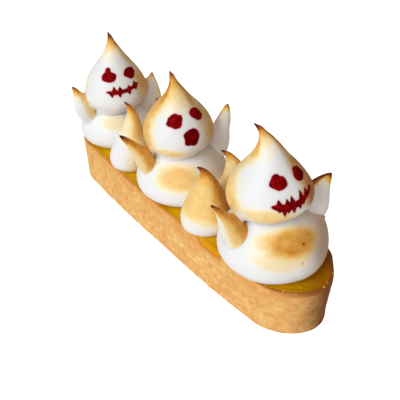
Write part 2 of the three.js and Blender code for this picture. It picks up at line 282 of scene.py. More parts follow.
farGhost = {
    "neck": 6.5,
    "body": {
        "foot": (-53.3, 0, footZ), "height": 19.6, "radius": 16.5, "swell": 0.29, "taper": 0.55,
        "patches": [((-43.6, -8.0, 32.6), 6.0, 3.0, 0.2), ((-62.0, 6.0, 33.0), 7.0, 5.0, 0.4)],
    },
    "head": {
        "spine": ((-50.5, 0, 35.6), (-51.5, -1.1, 47.5), (-49.7, 1.0, 58.5), (-51.9, -1.3, 69.4)),
        "radius": 13.4, "swell": 0.5, "taper": 1.65, "burn": (0.765, 0.91, 0.97),
        "glows": [(leftSide, 0.8, 1.0, 0.14), (rightSide, 0.76, 1.0, 0.38), (backSide, 0.5, 1.0, 0.45)],
        "paintedShades": [(rightSide, 0.6, 0.95, 0.5)],
        "bulges": [((-48.0, 4.7, 59.0), 7.0, -0.5), ((-51.0, -0.1, 67.3), 1.6, 0.25)],
    },
    "leftArm": {
        "spine": ((-55.3, -12.4, 32.1), (-55.9, -16.2, 37.7), (-52.7, -15.4, 42.4), (-55.4, -18.7, 49.1)),
        "radius": 3.8, "swell": 0.35, "taper": 0.95, "burn": (0.78, 0.92, 0.98),
        "glows": [(innerSide, 0.0, 0.7, 0.3)],
    },
    "rightArm": {
        "spine": ((-47.8, 13.1, 31.0), (-47.7, 14.4, 37.0), (-47.9, 15.6, 42.4), (-48.0, 16.5, 47.5)),
        "radius": 5.6, "swell": 0.41, "taper": 1.2, "burn": (0.84, 0.94, 0.98),
        "glows": [(headSide, 0.3, 0.95, 0.25), (rightSide, 0.5, 1.0, 0.2)],
    },
    "leftEye": {
        "at": (-45.0, -6.6, 54.9), "facing": -48, "tilt": 36, "tone": 1.2,
        "radii": (2.8, 1.8, 1.2, 1.1, 2.5, 2.8, 2.5, 1.8, 2.5, 3.4, 3.8, 3.4, 3.3, 3.4, 3.4, 3.1),
    },
    "rightEye": {
        "at": (-41.9, 1.0, 54.4), "facing": 7, "tilt": 34,
        "radii": (3.3, 3.4, 2.7, 2.2, 2.1, 2.0, 2.1, 2.5, 2.1, 1.9, 2.3, 2.5, 2.7, 2.8),
    },
    "mouth": {
        "at": (-38.9, -3.7, 48.8), "facing": -15, "tilt": 25, "halfLength": 7.0, "curve": 0.03,
        "lean": 0.1, "thick": (0.8, 0.65),
        "upperTeeth": ((-3.9, 2.5), (-1.6, 2.3), (2.2, 1.7), (5.0, 2.1)),
        "lowerTeeth": ((-5.25, 2.1), (-3.7, 1.1), (-2.1, 2.2), (2.1, 2.2), (5.4, 1.8)),
    },
}

ghosts = [nearGhost, middleGhost, farGhost]

kisses = {
    "kiss_1_left": {
        "spine": ((18.8, -7.2, footZ), (18.0, -8.7, 29.1), (20.2, -5.6, 41.9), (17.0, -10.9, 44.9)),
        "radius": 9.9, "swell": 0.16, "taper": 1.5, "burn": (0.74, 0.88, 0.96),
        "rise": (22.0, 28.0, 0.35), "glows": [(acrossView, 0.1, 1.0, 0.43)],
    },
    "kiss_1_right": {
        "spine": ((16.4, 8.0, footZ), (17.1, 8.9, 28.6), (15.9, 9.1, 41.1), (13.0, 3.8, 43.5)),
        "radius": 8.3, "swell": 0.16, "taper": 1.6, "burn": (0.78, 0.9, 0.96),
        "rise": (23.0, 29.0, 0.28), "glows": [(rightSide, 0.2, 0.9, 0.25)],
    },
    "kiss_2_left": {
        "spine": ((-31.4, -8.8, footZ), (-31.4, -8.6, 30.6), (-27.4, -4.1, 43.7), (-31.8, -8.7, 48.7)),
        "radius": 8.3, "swell": 0.16, "taper": 1.5, "burn": (0.74, 0.92, 0.975),
        "rise": (30.0, 38.0, 0.2), "glows": [((0.75, 0.6, 0.2), -0.2, 0.8, 0.26)],
        "pores": [(-24.9, -13.1, 25.9)],
    },
    "kiss_2_right": {
        "spine": ((-29.6, 7.4, footZ), (-29.6, 7.8, 28.6), (-30.2, 8.4, 41.0), (-31.0, 6.4, 45.4)),
        "radius": 8.4, "swell": 0.16, "taper": 1.3, "burn": (0.7, 1.05, 1.2),
        "rise": (22.0, 32.0, 0.42),
    },
}

fineness = {"body": (300, 150), "head": (260, 170), "arm": (150, 110), "kiss": (210, 140)}  # sides and rings
tipShape = {"radius": 0.5, "growth": 3, "bluntness": 20}
pore = {"radius": 0.42, "depth": 0.5, "toast": 0.35}
lumps = ((0.22, 9.0, 11), (0.07, 3.6, 12), (0.02, 1.3, 13))
smoothTip = (0.8, 0.97)  # the shares of the spine over which lumps fade out
nearest = {"stops": 90, "rounds": 3, "margin": 0.0005, "nudge": 0.002, "steepest": 1.5}
fillet = {"rounds": 5, "leastSlope": 0.15, "inside": 0.3}
resting = {"inCurd": 0.4, "onRim": 0.25, "pastWall": 0.1, "pastRim": 0.3}


def controlPoints(form):
    # a spine's four points, or for a body four at equal steps straight up from its foot
    if "spine" in form:
        return np.array(form["spine"], float)
    foot = np.array(form["foot"], float)
    return np.array([foot + (0, 0, form["height"] * i / 3) for i in range(4)])


def spinePoint(form, share):
    # cubic curve: (1-s)^3 A + 3 (1-s)^2 s B + 3 (1-s) s^2 C + s^3 D
    s = np.asarray(share, float)[..., None]
    a, b, c, d = controlPoints(form)
    return (1 - s) ** 3 * a + 3 * (1 - s) ** 2 * s * b + 3 * (1 - s) * s ** 2 * c + s ** 3 * d


def spineSlope(form, share):
    # the curve's derivative by its share
    s = np.asarray(share, float)[..., None]
    a, b, c, d = controlPoints(form)
    return 3 * ((1 - s) ** 2 * (b - a) + 2 * (1 - s) * s * (c - b) + s ** 2 * (d - c))


def pipedRadius(form, share):
    # rises as a power of the share to the widest ring, falls as a power of what is left, and ends blunt
    widest = form["swell"] / (form["swell"] + form["taper"])
    rise = (share / widest) ** form["swell"]
    fall = ((1 - share) / (1 - widest)) ** form["taper"]
    blunt = np.sqrt(np.maximum(0, 1 - share ** tipShape["bluntness"]))
    tip = tipShape["radius"] * share ** tipShape["growth"] * blunt if "spine" in form else 0
    return form["radius"] * rise * fall + tip


def pipedGrid(form, sides, rings):
    # rings square to the spine: centre + radius (cos side + sin front)
    shares = 0.5 - 0.5 * np.cos(np.pi * np.arange(1, rings) / rings)
    along = unit(spineSlope(form, shares))
    side = unit(np.array((1.0, 0, 0)) - along * along[:, :1])
    front = np.cross(along, side)
    angle = 2 * np.pi * np.arange(sides) / sides
    radius = pipedRadius(form, shares)[:, None, None]
    around = np.cos(angle)[None, :, None] * side[:, None] + np.sin(angle)[None, :, None] * front[:, None]
    return spinePoint(form, shares)[:, None] + radius * around, shares


def pipedField(form, points):
    # how far points lie outside a form, and the direction straight away from it: the distance to the nearest
    # ring's centre less its radius, over the root of 1 + slope^2, and the ray from that centre leant by slope
    steps = np.linspace(0, 1, nearest["stops"])
    centres = spinePoint(form, steps)
    flat = points.reshape(-1, 3)
    squares = (centres ** 2).sum(1) - 2 * flat @ centres.T
    share = steps[squares.argmin(1)]
    for _ in range(nearest["rounds"]):
        slope = spineSlope(form, share)
        ahead = ((flat - spinePoint(form, share)) * slope).sum(1)
        share = np.clip(share + ahead / (slope ** 2).sum(1), nearest["margin"], 1 - nearest["margin"])
    ray = flat - spinePoint(form, share)
    reach = np.linalg.norm(ray, axis=1)
    nudge = nearest["nudge"]
    slope = spineSlope(form, share)
    lean = (pipedRadius(form, np.minimum(share + nudge, 1)) - pipedRadius(form, share)) / nudge
    lean = np.clip(lean / np.linalg.norm(slope, axis=1), -nearest["steepest"], nearest["steepest"])
    away = unit(unit(ray) - lean[:, None] * unit(slope))
    distance = (reach - pipedRadius(form, share)) / np.sqrt(1 + lean ** 2)
    return distance.reshape(points.shape[:-1]), away.reshape(points.shape)


def endRadius(turn):
    # an end's radius by its angle from the long axis: mean + reach cos 2t + shoulder cos 4t + skew sin 2t
    mean = case["width"] / 2 - case["sideBow"] + case["endReach"] - case["shoulder"]
    return (mean + case["endReach"] * np.cos(2 * turn) + case["shoulder"] * np.cos(4 * turn)
            + case["skew"] * np.sin(2 * turn))


def insetOf(points):
    # how far inside the case's outline a point lies; the far end is the near end turned half round
    x = np.abs(points[..., 0])
    y = points[..., 1] * np.where(points[..., 0] < 0, -1, 1)
    alongSide = case["width"] / 2 - case["sideBow"] * (x / straight) ** 2 - np.abs(y)
    atEnd = endRadius(np.arctan2(y, x - straight)) - np.hypot(x - straight, y)
    return np.where(x < straight, alongSide, atEnd)


def settled(points):
    # meringue lies on the curd and, where it overhangs, on the rim
    inset = insetOf(points)
    inCase = inset > case["wall"] + resting["pastWall"]
    bed = np.where(inCase, case["curdTop"] - resting["inCurd"], case["height"] - resting["onRim"])
    bed = np.where(inset > -resting["pastRim"], bed, points[..., 2])
    points[..., 2] = np.maximum(points[..., 2], bed)
    return points


def filletShift(form, points, other, blend):
    # draws points near another form onto the smooth union of the two distances, along its slope, but for what
    # lies inside the other form: min(a, b) - blend / 4 mix^2, where mix is 1 - |a - b| / blend
    depth = pipedField(other, points)[0]
    near = np.abs(depth) < blend
    place = points[near]
    for _ in range(fillet["rounds"]):
        own, ownAway = pipedField(form, place)
        far, farAway = pipedField(other, place)
        mix = np.clip(1 - np.abs(own - far) / blend, 0, 1)
        union = np.minimum(own, far) - blend / 4 * mix ** 2
        share = np.where(own < far, mix / 2, 1 - mix / 2)[:, None]
        slope = (1 - share) * ownAway + share * farAway
        steepness = np.maximum((slope ** 2).sum(-1), fillet["leastSlope"])
        place = place - (union / steepness)[:, None] * slope
    shift = np.zeros(points.shape)
    kept = 1 - ramp(0, fillet["inside"] * blend, -depth[near])
    shift[near] = (place - points[near]) * kept[:, None]
    return shift


torch = {
    "wobble": (0.09, 5.0, 21),
    "streaks": (0.04, 2.0, 22),
    "streakSquash": (1, 1, 2.2),
    "paintedShadeWobble": (0.08, 5.5, 23),
    "goldLead": 0.12,  # how far before "burn" the first gold shows, as a share of the spine
    "tipStops": (0, 0.12, 0.5, 0.85, 1.0),
    "tipWobble": 0.25,
    "patchDepth": 10.0,
    "patchEdge": (0.45, 1.15),
    "patchWobble": 1.1,
    "riseWobble": 12.0,
}


def facingShare(normals, sides, wobble):
    # for each side in turn, its amount times a ramp of the dot product of normal and direction
    for direction, low, high, amount in sides:
        yield amount * ramp(low, high, normals @ unit(np.array(direction)) + wobble)


def paintedShadeOf(form, points, normals):
    # how far painted shade dulls a form to tan on one side, from 0 to 1: the strongest of its dusks
    wobble = layered(points, [torch["paintedShadeWobble"]])
    paintedShade = np.zeros(points.shape[:-1])
    for share in facingShare(normals, form.get("paintedShades", ()), wobble):
        paintedShade = np.maximum(paintedShade, share)
    return paintedShade


def toastOf(form, points, normals, shares):
    # torching from 0, white, to 1, charred: 1 less the product of what burnt tip, patches, sides and heights
    # each leave white
    wobble = layered(points, [torch["wobble"]]) + layered(points * torch["streakSquash"], [torch["streaks"]])
    left = np.ones(points.shape[:-1])
    if "burn" in form:
        gold, brown, black = form["burn"]
        stops = (gold - torch["goldLead"], gold, brown, black, 1.0)
        left *= 1 - np.interp(shares + torch["tipWobble"] * wobble, stops, torch["tipStops"])
    for centre, halfWidth, halfHeight, amount in form.get("patches", ()):
        offset = points - centre
        reach = np.sqrt((offset @ acrossView / halfWidth) ** 2 + (offset[..., 2] / halfHeight) ** 2
                        + (offset @ aheadView / torch["patchDepth"]) ** 2)
        left *= 1 - amount * (1 - ramp(*torch["patchEdge"], reach + torch["patchWobble"] * wobble))
    for share in facingShare(normals, form.get("glows", ()), wobble):
        left *= 1 - share
    if "rise" in form:
        low, high, amount = form["rise"]
        left *= 1 - amount * ramp(low, high, points[..., 2] + torch["riseWobble"] * wobble)
    return 1 - left


def pipedPiece(name, node, form, detail, neighbours, material, extra=None):
    # a form moved out along its normals by hand lumps and bulges and, near each neighbour, onto a fillet
    # "neighbours" are pairs of a form and its blend in millimetres
    sides, rings = fineness[detail]
    grid, shares = pipedGrid(form, sides, rings)
    normals = gridNormals(grid)
    shareGrid = np.repeat(shares[:, None], sides, axis=1)
    toast = toastOf(form, grid, normals, shareGrid)
    fade = 1 - ramp(*smoothTip, shareGrid)
    lift = layered(grid, lumps) * fade + swollen(grid, form.get("bulges", ()))
    shift = sum(filletShift(form, grid, other, blend) for other, blend in neighbours)
    for centre in form.get("pores", ()):
        hole = np.exp(-(np.linalg.norm(grid - centre, axis=-1) / pore["radius"]) ** 2)
        lift -= pore["depth"] * hole
        toast = np.clip(toast + pore["toast"] * hole, 0, 1)
    surface = settled(grid + normals * lift[..., None] + shift * fade[..., None])
    points, faces = closedGrid(surface, surface[0].mean(0), spinePoint(form, 1.0))
    stain = extra(grid) if extra else np.zeros(grid.shape[:-1])
    shades = {"toast": toast, "paintedShade": paintedShadeOf(form, grid, normals), "stain": stain}
    values = {key: np.r_[some.ravel(), some[0].mean(), some[-1].mean()] for key, some in shades.items()}
    addMesh(name, points, faces, material, (node,), values)


markShape = {
    "relief": 0.5,
    "sink": 0.45,
    "roundness": 0.6,
    "toothHalf": 1.2,
    "toothPower": 0.8,
    "leastHalf": 0.06,  # of a mouth's half height, squared, at its corners
    "grain": (0.07, 0.9, 31),
    "bleed": 0.3,
    "bleedDepth": 5,
    "search": 7.0,  # how far from the head's surface a mark's own plane may lie
    "halvings": 22,
    "rows": 28,
    "spotColumns": 150,
    "mouthColumns": 241,
}
markKeys = ("leftEye", "rightEye", "mouth")


def markFrame(mark):
    # the directions out of the head, across the mark and up it, from its facing and tilt in degrees
    facing = np.radians(mark["facing"])
    tilt = np.radians(mark["tilt"])
    out = np.array((np.cos(tilt) * np.cos(facing), np.cos(tilt) * np.sin(facing), np.sin(tilt)))
    across = unit(np.cross((0, 0, 1.0), out))
    return out, across, np.cross(out, across)


def lumpyRadius(mark, angle):
    # radii given at equal steps round the mark, joined in turn
    radii = np.array(mark["radii"])
    steps = np.arange(len(radii) + 1) * 2 * np.pi / len(radii)
    return np.interp(angle % (2 * np.pi), steps, np.r_[radii, radii[0]])


def jaggedEdges(mark, u):
    # lower and upper edge of a jagged mouth: a shallow curved band with pointed teeth
    middle = mark["curve"] * u ** 2 + mark["lean"] * u
    share = (u / mark["halfLength"] + 1) / 2
    thick = mark["thick"][0] * (1 - share) + mark["thick"][1] * share
    half = thick * np.sqrt(np.maximum(markShape["leastHalf"], 1 - (u / mark["halfLength"]) ** 4))

    def reach(teeth):
        places, heights = np.array(teeth).T[..., None, None]
        point = np.maximum(0, 1 - np.abs(u - places) / markShape["toothHalf"]) ** markShape["toothPower"]
        return np.maximum(half, (heights * point).max(0))

    return middle - reach(mark["lowerTeeth"]), middle + reach(mark["upperTeeth"])


def castOnto(form, start, out):
    # slides points along a direction until they lie on a form's surface, by halving
    low = np.full(start.shape[:-1], -markShape["search"])
    high = np.full(start.shape[:-1], markShape["search"])
    for _ in range(markShape["halvings"]):
        middle = (low + high) / 2
        inside = pipedField(form, start + middle[..., None] * out)[0] < 0
        low = np.where(inside, middle, low)
        high = np.where(inside, high, middle)
    return start + ((low + high) / 2)[..., None] * out


def spotSections(mark):
    # a round mark from its middle on top to its middle underneath: its reach grows as the root of the turn's
    # sine, and its height falls from 1 to -1 as the turn's cosine
    turn = np.pi * np.arange(1, markShape["rows"])[:, None] / markShape["rows"]
    angle = 2 * np.pi * np.arange(markShape["spotColumns"])[None, :] / markShape["spotColumns"]
    reach = lumpyRadius(mark, angle) * np.sin(turn) ** 0.5
    return reach * np.cos(angle), reach * np.sin(angle), np.cos(turn) + 0 * angle


def mouthSections(mark):
    # a jagged mouth from corner to corner: each section is a flattened ring between its lower and upper edge
    stops = np.linspace(-1, 1, markShape["mouthColumns"])[1:-1]
    u = mark["halfLength"] * np.sin(stops * np.pi / 2)[:, None]
    lower, upper = jaggedEdges(mark, u)
    turn = 2 * np.pi * np.arange(markShape["rows"])[None, :] / markShape["rows"]
    span = (upper - lower) / 2
    across = np.sign(np.cos(turn)) * np.abs(np.cos(turn)) ** markShape["roundness"]
    height = np.sin(turn) * np.minimum(1, span / markShape["relief"])
    return u + 0 * turn, (upper + lower) / 2 + span * across, height


def markGrid(mark, head):
    # sections through the mark, laid on the head and lifted by their height to the power of its roundness
    out, across, upward = markFrame(mark)
    u, v, height = spotSections(mark) if "radii" in mark else mouthSections(mark)
    base = np.array(mark["at"]) + u[..., None] * across + v[..., None] * upward
    surface = castOnto(head, base, out)
    grain = layered(surface, lumps) + layered(surface, [markShape["grain"]])
    swell = np.sign(height) * np.abs(height) ** markShape["roundness"]
    lift = np.where(height > 0, markShape["relief"], markShape["sink"]) * swell
    grid = surface + (lift + grain)[..., None] * out
    return grid[::-1] if "radii" in mark else grid


def stainOn(ghost):
    # how near each point of a head lies to a red mark, from 1 under it to 0 past the bleed
    def stain(points):
        total = np.zeros(points.shape[:-1])
        for key in markKeys:
            mark = ghost[key]
            out, across, upward = markFrame(mark)
            offset = points - mark["at"]
            u = offset @ across
            v = offset @ upward
            if "radii" in mark:
                past = np.hypot(u, v) - lumpyRadius(mark, np.arctan2(v, u))
            else:
                lower, upper = jaggedEdges(mark, np.clip(u, -mark["halfLength"], mark["halfLength"]))
                past = np.maximum(np.maximum(lower - v, v - upper), np.abs(u) - mark["halfLength"])
            near = np.exp(-np.maximum(past, 0) / markShape["bleed"])
            total = np.maximum(total, near * (np.abs(offset @ out) < markShape["bleedDepth"]))
        return total
    return stain


def addMarks(name, node, ghost, material):
    # the two eyes and the mouth of one ghost, joined into one piece
    grids = [markGrid(ghost[key], ghost["head"]) for key in markKeys]
    blocks = [closedGrid(grid, grid[0].mean(0), grid[-1].mean(0)) for grid in grids]
    # each mark's tone is painted shade and light: darker where the mark lies in shade, lighter where it is
    # lit
    tones = [np.full(len(some), ghost[key].get("tone", 1.0)) for key, (some, _) in zip(markKeys, blocks)]
    points, faces = joined(blocks)
    addMesh(name, points, faces, material, (node,), {"tone": np.concatenate(tones)})


def oblong(inset):
    # half the outline is an end's arc and a bowed side, the other half the same turned round; it is set in
    # towards the centre line, by one distance or by one for each stop
    arc = np.linspace(-np.pi / 2, np.pi / 2, case["endStops"])
    run = np.linspace(1, -1, case["sideStops"])[1:-1]
    inward = np.r_[np.c_[-np.cos(arc), -np.sin(arc)], np.c_[0 * run, 0 * run - 1]]
    reach = np.r_[endRadius(arc), case["width"] / 2 - case["sideBow"] * run ** 2]
    centre = np.r_[np.c_[0 * arc + straight, 0 * arc], np.c_[straight * run, 0 * run]]
    centre = np.r_[centre, -centre]
    inward = np.r_[inward, -inward]
    left = np.r_[reach, reach] - inset
    return centre - left[:, None] * inward, centre


def carried(profile):
    # a profile of (inset, height) pairs carried round the outline; a None inset is the centre line
    rows = []
    for inset, height in profile:
        flat = oblong(0.0)[1] if inset is None else oblong(inset)[0]
        rows.append(np.c_[flat, np.full(len(flat), height)])
    return np.array(rows)


def addSkin(name, grid, material, node, values):
    # rings carried round the case become one mesh, closed by merging what meets on the centre line
    faces = ringFaces(*grid.shape[:2]).tolist()
    piece = addMesh(name, grid.reshape(-1, 3), faces, material, (node,), values)
    work = bmesh.new()
    work.from_mesh(piece.data)
    bmesh.ops.remove_doubles(work, verts=work.verts, dist=0.02 * millimetre)
    bmesh.ops.dissolve_degenerate(work, edges=work.edges, dist=0.001 * millimetre)
    work.to_mesh(piece.data)
    work.free()
    piece.data.shade_smooth()


spill = {"x": 31.5, "reach": 6.5, "dip": 0.75, "dipDepth": 5.0, "lap": 1.35}  # curd over the rim, -Y side
crust = {
    "underside": (14.0, 12.5),  # insets of its two innermost rings
    "undersideRings": 22,
    "wallRings": 46,
    "innerRound": 0.7,
    "roundReach": (0.6, 0.69),  # how far out and in the rounds are followed under the film of curd
    "fold": (1.1, 3.4),  # depths between which the inside wall steps inwards
    "floorInsets": (4.0, 8.0, 12.0),
    "waves": ((0.14, 13.0, 41), (0.07, 4.0, 44)),
    "grit": ((0.08, 1.5, 42), (0.06, 0.75, 43)),
    "pits": 46,
    "pitRadius": (0.22, 0.5),
    "pitDepth": 0.3,
}
bakingAndShade = {
    "mottle": ((0.25, 2.2, 45), (0.2, 6.0, 46)),
    "soakedInsets": (0.1, 1.7),  # curd soaks the rim between these insets and depths under its top
    "soakedDepths": (1.6, 0.5),
    "soakedBySpill": 1.4,
    "soakedWobble": 0.5,
    "brownedDepth": 6.0,
    "brownedWobble": 5.0,
    "shadedAlong": (34.0, 62.0),  # painted shade: the near end is darker where it faces right
    "shadedFacing": (-0.25, 0.8),
    "shadedWobble": 0.4,
    "behind": (0.0, 0.7),  # and less so where it faces away from the camera
    "paler": 0.6,
    # painted shade on the rim's top round the near end: depths, centre and span across the view
    "topDepths": (1.5, 0.3),
    "topCentre": (62.0, -8.0, 0),
    "topAcross": (-12.0, 14.0),
}


def bend(centreInset, centreZ, radius, start, stop, count):
    # an arc of the profile: angle 0 points out of the case, 90 up
    angle = np.radians(np.linspace(start, stop, count))
    return [(centreInset - radius * np.cos(a), centreZ + radius * np.sin(a)) for a in angle]


def spilled(points):
    # 1 in the middle of the spill, easing to 0 on both sides of it
    near = np.exp(-((points[..., 0] - spill["x"]) / spill["reach"]) ** 4)
    return near * (points[..., 1] < 0)


def sandy(points):
    # the crust's unevenness in millimetres outwards: slow waves, grit, swellings and dents
    return layered(points, crust["waves"]) + layered(points, crust["grit"]) + swollen(points, case["bulges"])


def dipped(points):
    # how much the crust's top sinks under the spill: all of the dip at the rim, none at the dip's depth
    rim = case["height"]
    return spill["dip"] * spilled(points) * ramp(rim - spill["dipDepth"], rim, points[..., 2])


def crustProfile():
    # underside, drawn-in foot, wall, rounded rim, inside wall and inside floor, and the slice that is wall
    height, wall, edge, foot = case["height"], case["wall"], case["edgeRound"], case["footInset"]
    innerRound = crust["innerRound"]
    middle, start = crust["underside"]
    upper, lower = crust["fold"]
    profile = [(None, 0.0), (middle, 0.0)]
    profile += [(inset, 0.0) for inset in np.linspace(start, foot + edge + 0.5, crust["undersideRings"])]
    profile += bend(foot + edge, edge, edge, -90, -10, 6)
    climb = np.linspace(edge + 0.3, height - edge - 0.1, crust["wallRings"])
    outside = slice(len(profile), len(profile) + len(climb))
    profile += [(foot * (1 - z / height), z) for z in climb]
    profile += bend(edge, height - edge, edge, 5, 90, 7)
    profile += bend(wall - innerRound, height - innerRound, innerRound, 90, 180, 6)[1:]
    profile += [(wall, height - upper)]
    profile += [(wall + case["thicker"], z) for z in np.linspace(height - lower, case["floor"], 7)]
    profile += [(inset, case["floor"]) for inset in crust["floorInsets"]]
    return profile + [(None, case["floor"])], outside


def pitsOn(grid, outside):
    # from 0 to 1 in round pits at random places on the wall: e^-(distance / radius)^2
    rng = np.random.default_rng(5)
    onWall = grid[outside].reshape(-1, 3)
    spots = onWall[rng.integers(0, len(onWall), crust["pits"])]
    radii = rng.uniform(*crust["pitRadius"], crust["pits"])
    pitted = np.zeros(grid.shape[:-1])
    for spot, radius in zip(spots, radii):
        pitted = np.maximum(pitted, np.exp(-((grid - spot) ** 2).sum(-1) / radius ** 2))
    return pitted


def underTop(depths, grid):
    # rises from 0 to 1 between two depths under the top of the case
    return ramp(case["height"] - depths[0], case["height"] - depths[1], grid[..., 2])


def crustShades(grid, normals):
    # how far each point is soaked by curd, browned near the rim and darkened by painted shade round the near
    # end
    wobble = layered(grid, bakingAndShade["mottle"])
    inwards = insetOf(grid) + bakingAndShade["soakedBySpill"] * spilled(grid) + bakingAndShade["soakedWobble"] * wobble
    soaked = ramp(*bakingAndShade["soakedInsets"], inwards) * underTop(bakingAndShade["soakedDepths"], grid)
    swayed = grid[..., 2] + bakingAndShade["brownedWobble"] * wobble
    browned = ramp(case["height"] - bakingAndShade["brownedDepth"], case["height"], swayed)
    # painted shade round the near end, less where it faces away, and on the rim's top there
    facing = ramp(*bakingAndShade["shadedFacing"], normals @ rightSide + bakingAndShade["shadedWobble"] * wobble)
    shaded = facing * ramp(*bakingAndShade["shadedAlong"], grid[..., 0])
    shaded *= 1 - bakingAndShade["paler"] * ramp(*bakingAndShade["behind"], normals @ -aheadView)
    across = (grid - bakingAndShade["topCentre"]) @ acrossView
    shadedTop = underTop(bakingAndShade["topDepths"], grid) * ramp(*bakingAndShade["topAcross"], across)
    return {"soaked": soaked, "browned": browned, "shaded": np.maximum(shaded, shadedTop)}


def crustPiece(material):
    # the profile carried round, roughened like shortcrust where it shows, pitted and dipped under the spill
    profile, outside = crustProfile()
    grid = carried(profile)
    normals = gridNormals(grid)
    hidden = (insetOf(grid) > case["wall"] + 1) | (grid[..., 2] < 0.1)
    lift = np.where(hidden, 0, sandy(grid) - crust["pitDepth"] * pitsOn(grid, outside))
    surface = grid + normals * lift[..., None]
    surface[..., 2] = np.maximum(surface[..., 2] - dipped(grid), 0)
    addSkin("crust_case", surface, material, "tart_shell", crustShades(grid, normals))


curd = {
    "underside": 12.0,  # the inset of its innermost ring underneath
    "floorGap": 0.1,
    "wallGap": 0.12,
    "sideHeights": (8.0, 14.0, 18.0),
    "pool": (0.12, 13.2, 54),  # first and last ring from the wall and how many, closer at the edge
    "rise": 0.95,
    "riseReach": 1.7,
    "swell": ((0.12, 11.0, 51), (0.03, 2.6, 52)),
    "lap": 0.5,
    "lapSway": (0.22, 3.0, 53),
    "lapRings": 14,
    "leastInset": 0.25,
    "film": 0.16,
    "filmSink": 0.04,
    "filmEdge": 0.5,
    "beadEdge": 0.7,
    "bubbles": 40,
    "bubbleInset": 1.2,
    "bubbleRadius": (0.25, 0.6),
    "bubbleDrift": 2.2,
    "shown": ((27.0, -15.7, 0.7), (64.4, -4.6, 0.75), (66.6, -3.0, 0.4)),  # bubbles in view: x, y, radius
    "lipRow": 6,  # the film's edge, folded down by lipFold
    "lipFold": 0.35,
    "rimFrom": 0.6,  # the curd's own deeper colour at the rim fades inwards over rimFade, and over rimAlong it fades backwards as painted light
    "rimFade": 1.5,
    "rimAlong": (0.0, 18.0),
    "rimPaler": 0.8,
    # painted shadow of the near ghost's body on the curd at the near end
    "shadedPast": 40,
    "shadedCentre": (60.0, -10.0, 0),
    "shadedAcross": (-4.0, 15.0),
}


def blisters(grid):
    # small burst bubbles, those in plain view and random ones along the edge: half as high as a ball
    rng = np.random.default_rng(8)
    halfLength, halfWidth = 70, 17
    stops = oblong(case["wall"] + curd["bubbleInset"])[0][rng.integers(0, grid.shape[1], curd["bubbles"])]
    drift = rng.uniform(0, curd["bubbleDrift"], curd["bubbles"])
    spots = [(x * (1 - d / halfLength), y * (1 - d / halfWidth), r) for (x, y), d, r in
             zip(stops, drift, rng.uniform(*curd["bubbleRadius"], curd["bubbles"]))]
    blister = np.zeros(grid.shape[:-1])
    for x, y, radius in [*curd["shown"], *spots]:
        far = np.hypot(grid[..., 0] - x, grid[..., 1] - y) / radius
        blister = np.maximum(blister, radius * 0.5 * np.sqrt(np.maximum(0, 1 - far ** 2)))
    return blister


def rimTop(grid, inset):
    # the height of the crust's top: the lower of its outer and inner rounds, roughened and dipped as it is
    edge, inner, height = case["edgeRound"], crust["innerRound"], case["height"]
    past = inset - case["wall"] + inner
    outerReach, innerReach = crust["roundReach"]
    outerRound = height - edge + np.sqrt(edge ** 2 - np.clip(edge - inset, 0, outerReach) ** 2)
    innerRound = height - inner + np.sqrt(inner ** 2 - np.clip(past, 0, innerReach) ** 2)
    place = np.stack([grid[..., 0], grid[..., 1], np.minimum(outerRound, innerRound)], -1)
    return place[..., 2] + sandy(place) - dipped(place)


def curdPiece(material):
    # a pool that climbs the wall at its edge and laps onto the rim as a film, with small burst bubbles
    top, wall = case["curdTop"], case["wall"]
    edge = wall - curd["wallGap"]
    deep = edge + case["thicker"]
    along = carried([(0.0, case["height"])])[0]
    lap = curd["lap"] + layered(along, [curd["lapSway"]]) + spill["lap"] * spilled(along)
    lip = np.clip(edge - lap, curd["leastInset"], edge)
    shares = 1 - np.linspace(1, 0, curd["lapRings"]) ** 1.5
    insets = [None, curd["underside"], deep, deep, deep, edge, lip]
    insets += [lip + (wall + 0.05 - lip) * share for share in shares]
    insets += [*(wall + np.geomspace(*curd["pool"])), None]
    heights = [case["floor"] + curd["floorGap"]] * 3 + [*curd["sideHeights"]]
    heights += [top] * (len(insets) - len(heights))
    grid = carried(list(zip(insets, heights)))
    inset = insetOf(grid)
    lipRow = curd["lipRow"]
    onTop = np.arange(len(insets))[:, None] > lipRow
    climb = curd["rise"] * np.exp(-np.maximum(inset - wall, 0) / curd["riseReach"])
    pool = top + layered(grid, curd["swell"]) + climb + blisters(grid)
    film = rimTop(grid, inset) + curd["film"] * ramp(0, curd["filmEdge"], inset - lip) - curd["filmSink"]
    bead = film + np.maximum(pool - film, 0) * ramp(0, curd["beadEdge"], inset - lip)
    grid[..., 2] = np.where(onTop, np.where(inset < wall, bead, pool), grid[..., 2])
    grid[lipRow, :, 2] = grid[lipRow + 1, :, 2] - curd["lipFold"]
    rim = np.exp(-np.maximum(inset - wall + curd["rimFrom"], 0) / curd["rimFade"])
    # painted light: the rim's deeper colour is paler towards the far end
    rim *= 1 - curd["rimPaler"] * ramp(*curd["rimAlong"], -grid[..., 0])
    # painted shadow at the near end
    shaded = ramp(*curd["shadedAcross"], (grid - curd["shadedCentre"]) @ acrossView)
    shaded *= grid[..., 0] > curd["shadedPast"]
    addSkin("curd_pool", grid, material, "lemon_curd", {"rim": rim, "shaded": shaded})


crumbs = {
    "count": 40,
    "radius": (0.2, 0.42),
    "sides": 8,
    "rings": 5,
    "lumpiness": 0.25,
    "flatness": 0.75,
    "pole": 0.7,
    "lift": 0.3,
    "inward": (0.02, 0.09),  # the share of its y by which a crumb is drawn in from the outline
    "inwardAlong": 0.25,  # the part of that share by which its x is drawn in
    "shades": {"soaked": 0.1, "browned": 0.2, "shaded": 0.0},
}


